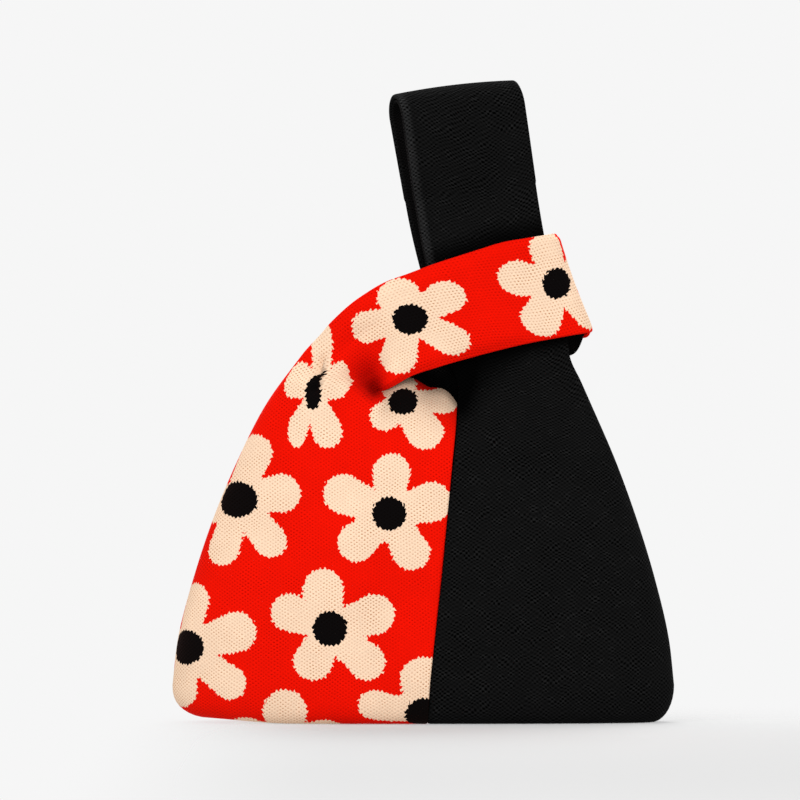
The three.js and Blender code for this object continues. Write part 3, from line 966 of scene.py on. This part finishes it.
def inside_of(net, name, sideways, upwards, chance):
    # The edge between two colours is pointed at each stitch
    f, fs, ft = net.vector(name)
    a = net.math("MULTIPLY", net.math("ABSOLUTE", fs), net.math("MULTIPLY", sideways, TOOTH[0]))
    b = net.math("MULTIPLY", net.math("ABSOLUTE", ft), net.math("MULTIPLY", upwards, TOOTH[1]))
    tooth = net.math("MULTIPLY", net.math("ADD", a, b), net.math("MULTIPLY_ADD", chance, 0.8, 0.6))
    c = net.math("MULTIPLY_ADD", chance, 0.5, -0.25)
    return net.math("GREATER_THAN", net.math("ADD", net.math("ADD", f, c), tooth), 0.0)


def uneven(net, scale, low, high):
    # A soft change over the cloth, between two values
    noise = net.node("ShaderNodeTexNoise", Vector=net.place(), Scale=scale, Detail=3.0)
    return net.ramp(noise.outputs[0], 0.3, 0.7, low, high, "LINEAR")


def finish_knit(net, colour, wave, chance, start, gap, open_share, grain, spark, depth):
    # Dark holes of uneven size between the stitches, small differences over the cloth, and painted shade and
    # highlight from the knit's places
    hole = net.ramp(net.math("MULTIPLY", wave, -1.0), start, 1.0)
    size = net.math("MULTIPLY_ADD", chance, 0.7, 0.45)
    strength = net.math("MULTIPLY", size, uneven(net, 60.0, open_share, 1.25))
    deep = net.math("MULTIPLY", hole, strength, clamp=True)
    inside = net.blend(1.0, colour, gap, "MULTIPLY")
    vary = net.math("MULTIPLY_ADD", chance, grain, 1.0 - grain / 2)
    vary = net.math("MULTIPLY_ADD", net.math("POWER", chance, 8.0), spark, vary)
    # The third number of the knit's places is painted shade, or below zero a painted highlight
    painted_light_factor = net.math("MAXIMUM", net.math("MULTIPLY_ADD", net.vector("knit")[2], -0.6, 1.0), 0.0)
    tone = net.math("MULTIPLY", net.math("MULTIPLY", vary, painted_light_factor), uneven(net, 38.0, 0.97, 1.03))
    grey = net.node("ShaderNodeCombineColor", Red=tone, Green=tone, Blue=tone)
    lit = net.blend(1.0, net.blend(deep, colour, inside), grey.outputs[0], "MULTIPLY")
    fuzz = net.node("ShaderNodeTexNoise", Vector=net.place(), Scale=2600.0, Detail=2.0)
    total = net.math("ADD", net.math("MULTIPLY", wave, 0.4), net.math("MULTIPLY", fuzz.outputs[0], 0.2))
    bump = net.node("ShaderNodeBump", Height=total, Strength=0.6, Distance=depth)
    rough = net.math("MULTIPLY_ADD", deep, 0.08, 0.86)
    net.fix(Base_Color=lit, Normal=bump.outputs[0], Roughness=rough)


def flower_material():
    net = Net("flower_knit")
    wave, sideways, upwards, chance = stitches(net, STITCH, EDGE_STITCH, 1.6)
    petal = inside_of(net, "petal", sideways, upwards, chance)
    heart = inside_of(net, "heart", sideways, upwards, chance)
    colour = net.blend(heart, net.blend(petal, RED, CREAM), DARK)
    finish_knit(net, colour, wave, chance, start=0.1, gap=CREAM_GAP, open_share=0.35,
                grain=0.06, spark=0.0, depth=0.0005)
    net.fix(Specular_IOR_Level=0.02, Sheen_Weight=0.02, Sheen_Roughness=0.6, Sheen_Tint=RED_FUZZ)
    return net.material


def plain_material(name, colour, stitch, sheen):
    net = Net(name)
    wave, _, _, chance = stitches(net, stitch, stitch, 3.0)
    finish_knit(net, colour, wave, chance, start=-0.8, gap=BLACK_GAP, open_share=0.9,
                grain=0.5, spark=0.5, depth=0.0006)
    net.fix(Specular_IOR_Level=0.01, Sheen_Weight=sheen, Sheen_Roughness=0.5, Sheen_Tint=BLACK_FUZZ)
    return net.material


# Pieces

def make_sheet(name, half, outer, inner, edge, material):
    points, quads, knit, zone, tone = half(outer, edge)
    inside = half(inner, edge)[0]
    # The third number of the knit's places carries the painted shade and the painted highlight
    marks = np.column_stack([knit, tone])
    obj, all_knit, all_zone, loops = sheet_mesh(name, points, inside, quads, marks, zone)
    corner_vector(obj, "knit", all_knit, loops)
    if half is flower_half and outer == 0:
        petal, heart = flower_fields(points, knit, zone, all_knit[:, :2], all_zone)
        corner_vector(obj, "petal", petal, loops)
        corner_vector(obj, "heart", heart, loops)
    obj.data.materials.append(material)
    return obj


flower_mat = flower_material()
black_mat = plain_material("black_knit", BLACK, BLACK_STITCH, 0.004)
lining_mat = plain_material("lining_knit", LINING_BLACK, LINING_STITCH, 0.004)
seam_mat = plain_material("seam_yarn", SEAM_BLACK, SEAM_STITCH, 0.01)

flower_side = make_sheet("flower_side", flower_half, 0.0, KNIT, KNIT / 2, flower_mat)
flower_lining = make_sheet("flower_side_lining", flower_half, LINING_OUT, LINING_IN, 1.7, lining_mat)
black_side = make_sheet("black_side", black_half, 0.0, KNIT, KNIT / 2, black_mat)
black_lining = make_sheet("black_side_lining", black_half, LINING_OUT, LINING_IN, 1.0, lining_mat)

# The sheets' placements are baked into their points, and the CAD parts they stand for are hidden
for piece in (flower_side, flower_lining):
    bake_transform(piece)
for piece in (black_side, black_lining):
    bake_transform(piece)
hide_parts("front_flower_panel", "back_flower_panel", "short_handle_root_front",
            "short_handle_root_back", "short_handle_loop")
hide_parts("front_flower_lining", "back_flower_lining", "short_handle_root_lining_front",
            "short_handle_root_lining_back", "short_handle_loop_lining")
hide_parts("front_black_panel", "back_black_panel", "long_handle")
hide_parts("front_black_lining", "back_black_lining", "long_handle_lining")


# Sewn ridges of the seams on the inside

SEAM_IN = 5.3
SEAM_RADIUS = 1.0
SEAM_STEP = 0.8
SEAM_LUMP = 3.2
SEAM_RING = 10
SEAM_POINTS = 60


def seam_ridge(name, line):
    # A round ridge along a line, with a lump at each sewn stitch
    line = np.asarray(line, float)
    d = np.gradient(line, axis=0)
    d /= np.linalg.norm(d, axis=1)[:, None]
    run = np.concatenate([[0], np.cumsum(np.linalg.norm(np.diff(line, axis=0), axis=1))])
    count = int(run[-1] / SEAM_STEP)
    at = np.linspace(0, run[-1], count)
    centre = np.stack([np.interp(at, run, line[:, k]) for k in range(3)], 1)
    way = np.stack([np.interp(at, run, d[:, k]) for k in range(3)], 1)
    ref = np.array([0.0, 1.0, 0.0]) if abs(way[:, 1]).mean() < 0.7 else np.array([1.0, 0.0, 0.0])
    u = np.cross(way, ref)
    u /= np.linalg.norm(u, axis=1)[:, None]
    v = np.cross(way, u)
    ring = SEAM_RING
    verts, faces, knit = [], [], []
    for i in range(count):
        lump = SEAM_RADIUS * (0.86 + 0.14 * math.sin(at[i] * 2 * math.pi / SEAM_LUMP))
        for k in range(ring):
            a = 2 * math.pi * k / ring
            verts.append(centre[i] + lump * (math.cos(a) * u[i] + math.sin(a) * v[i]))
            knit.append((k * 2 * math.pi * SEAM_RADIUS / ring, at[i]))
    for i in range(count - 1):
        for k in range(ring):
            a, b = i * ring + k, i * ring + (k + 1) % ring
            faces.append((a, b, b + ring, a + ring))
    faces.append(tuple(reversed(range(ring))))
    faces.append(tuple(range((count - 1) * ring, count * ring)))
    obj = smooth_mesh(name, np.array(verts), faces)
    corner_vector(obj, "knit", np.array(knit), np.concatenate(faces))
    obj.data.materials.append(seam_mat)
    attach(obj, "bag")
    return obj


heights = np.linspace(SEAM_IN + 1, NECK - 10, SEAM_POINTS)
at_seam = seam_x(heights)
depths = half_depth(at_seam, heights, SEAM_IN) * section(at_seam, heights, SEAM_IN)
for sign, label in ((-1, "front"), (1, "back")):
    made = seam_ridge(label + "_centre_seam_ridge", np.stack([at_seam, sign * depths, heights], 1))
    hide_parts(label + "_centre_seam")
heights = np.linspace(SEAM_IN + 6, NECK - 4, SEAM_POINTS)
made = seam_ridge("left_side_seam_ridge", np.stack([left_x(heights, SEAM_IN), 0 * heights, heights], 1))
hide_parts("left_side_seam")
right_line = reach(heights, right_outline, RIGHT_CORNER, SEAM_IN)
made = seam_ridge("right_side_seam_ridge", np.stack([right_line, 0 * heights, heights], 1))
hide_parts("right_side_seam")
right_end = reach(SEAM_IN, right_outline, RIGHT_CORNER, SEAM_IN)
base = np.linspace(left_x(SEAM_IN, SEAM_IN) + 4, right_end - 4, SEAM_POINTS)
base_z = SEAM_IN + 0.2 + corner_lift(base, 3.0)
made = seam_ridge("bottom_seam_ridge", np.stack([base, 0 * base, base_z], 1))
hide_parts("bottom_seam")

# Floor, light and camera, in metres and watts

SKY = 0.72
FLOOR = 3.0
FLOOR_FAR = (0.5, 1.6)
FLOOR_BEHIND = (-0.25, 0.25)
FLOOR_LEFT = (0.03, 0.16)


def sees_background(tree):
    # One for the rays that meet the plain background, and zero for those that light the object
    ray = tree.nodes.new("ShaderNodeLightPath")
    seen = ray.outputs["Is Camera Ray"]
    for kind in ("Is Glossy Ray", "Is Transmission Ray"):
        either = tree.nodes.new("ShaderNodeMath")
        either.operation = "MAXIMUM"
        tree.links.new(seen, either.inputs[0])
        tree.links.new(ray.outputs[kind], either.inputs[1])
        seen = either.outputs[0]
    return seen


world = bpy.data.worlds.new("studio")
bpy.context.scene.world = world
world.use_nodes = True
tree = world.node_tree
soft = tree.nodes["Background"]
soft.inputs[0].default_value = (1, 1, 1, 1)
soft.inputs[1].default_value = SKY
plain = tree.nodes.new("ShaderNodeBackground")
plain.inputs[0].default_value = BACKGROUND
choose = tree.nodes.new("ShaderNodeMixShader")
tree.links.new(sees_background(tree), choose.inputs[0])
tree.links.new(soft.outputs[0], choose.inputs[1])
tree.links.new(plain.outputs[0], choose.inputs[2])
tree.links.new(choose.outputs[0], tree.nodes["World Output"].inputs[0])

mesh = bpy.data.meshes.new("floor")
corners = [(-FLOOR, -FLOOR, 0), (FLOOR, -FLOOR, 0), (FLOOR, FLOOR, 0), (-FLOOR, FLOOR, 0)]
mesh.from_pydata(corners, [], [(0, 1, 2, 3)])
floor = new_object("floor", mesh)
net = Net("floor_paper")
net.fix(Base_Color=PAPER, Roughness=0.9, Specular_IOR_Level=0.0)
where = net.node("ShaderNodeSeparateXYZ", Vector=net.place())
apart = net.node("ShaderNodeVectorMath")
apart.operation = "LENGTH"
net.feed(apart.inputs[0], net.place())

# The paper runs out into the plain background, sooner on the left and behind
far = net.ramp(apart.outputs["Value"], *FLOOR_FAR)
behind = net.ramp(where.outputs["Y"], *FLOOR_BEHIND)
left = net.ramp(net.math("MULTIPLY", where.outputs["X"], -1.0), *FLOOR_LEFT)
paper = 1.0
for gone in (far, behind, left):
    paper = net.math("MULTIPLY", paper, net.math("SUBTRACT", 1.0, gone))
clear = net.node("ShaderNodeBsdfTransparent")
both = net.node("ShaderNodeMixShader")
net.feed(both.inputs[0], paper)
net.feed(both.inputs[1], clear.outputs[0])
net.feed(both.inputs[2], net.shader.outputs[0])
net.feed(net.tree.nodes["Material Output"].inputs[0], both.outputs[0])
mesh.materials.append(net.material)


def lamp(name, place, target, size, watts):
    data = bpy.data.lights.new(name, "AREA")
    data.shape = "SQUARE"
    data.size = size
    data.energy = watts
    obj = new_object(name, data)
    obj.location = place
    way = np.array(target) - np.array(place)
    yaw = math.atan2(way[1], way[0])
    pitch = math.atan2(-way[2], math.hypot(way[0], way[1]))
    obj.rotation_euler = (math.pi / 2 - pitch, 0, yaw - math.pi / 2)


lamp("key", (-0.8, -1.6, 1.3), (0, 0, 0.15), 1.4, 16.4)
lamp("fill", (1.1, -1.6, 0.7), (0, 0, 0.15), 1.4, 7)
lamp("top", (0.2, 0.62, 1.25), (0, 0, 0.1), 0.7, 12)

view = bpy.data.cameras.new("camera")
camera = new_object("camera", view)
camera.location = (CAMERA_X / MM, -CAMERA_DISTANCE / MM, CAMERA_Z / MM)
camera.rotation_euler = (math.pi / 2, 0, 0)
view.sensor_width = SENSOR
view.lens = SENSOR * PIXELS_PER_MM * CAMERA_DISTANCE / IMAGE
bpy.context.scene.camera = camera
bpy.context.scene.view_settings.view_transform = "Standard"
